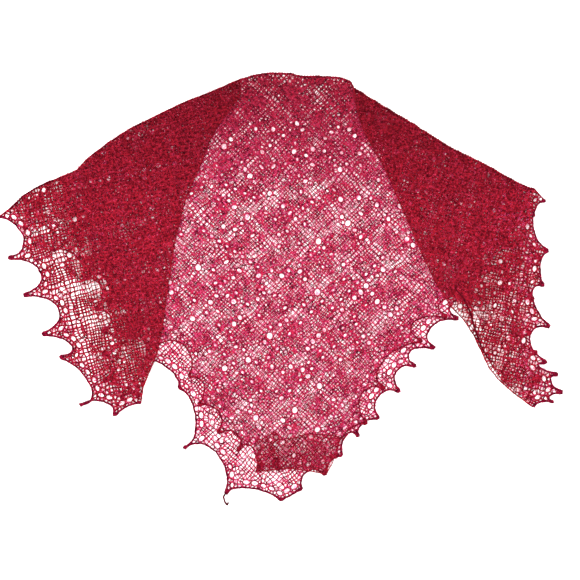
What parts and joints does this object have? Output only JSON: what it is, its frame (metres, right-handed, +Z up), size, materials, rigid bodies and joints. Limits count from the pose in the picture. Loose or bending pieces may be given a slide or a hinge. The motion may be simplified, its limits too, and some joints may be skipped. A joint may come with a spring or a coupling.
{
  "type": "lace shawl",
  "caption": "Square knitted lace shawl with a scalloped edging, folded on the diagonal and laid flat with both wings folded over at the shoulders.",
  "frame": {"origin": "on the floor, under the middle of the laid shawl's outline", "axes": "+Z up from the cloth, +Y towards the neck, +X to the right as seen from above with the neck at the top"},
  "size_m": [1.1794, 0.8972, 0.006],
  "materials": {
    "yarn_body_under": "soft brushed yarn",
    "yarn_body_over": "soft brushed yarn",
    "yarn_wing_under": "soft brushed yarn",
    "yarn_wing_over": "soft brushed yarn"
  },
  "bodies": {
    "root": {"body_under": "yarn_body_under", "body_over": "yarn_body_over", "turned_corner": "yarn_wing_under", "wing_left_under": "yarn_wing_under", "wing_left_over": "yarn_wing_over", "wing_right_under": "yarn_wing_under", "wing_right_over": "yarn_wing_over", "edging_body_under": "yarn_body_under", "edging_body_over_left": "yarn_body_over", "edging_body_over_right": "yarn_body_over", "edging_wing_left_under": "yarn_wing_under", "edging_wing_left_over": "yarn_wing_over", "edging_wing_right_under": "yarn_wing_under", "edging_wing_right_over": "yarn_wing_over"}
  },
  "joints": []
}
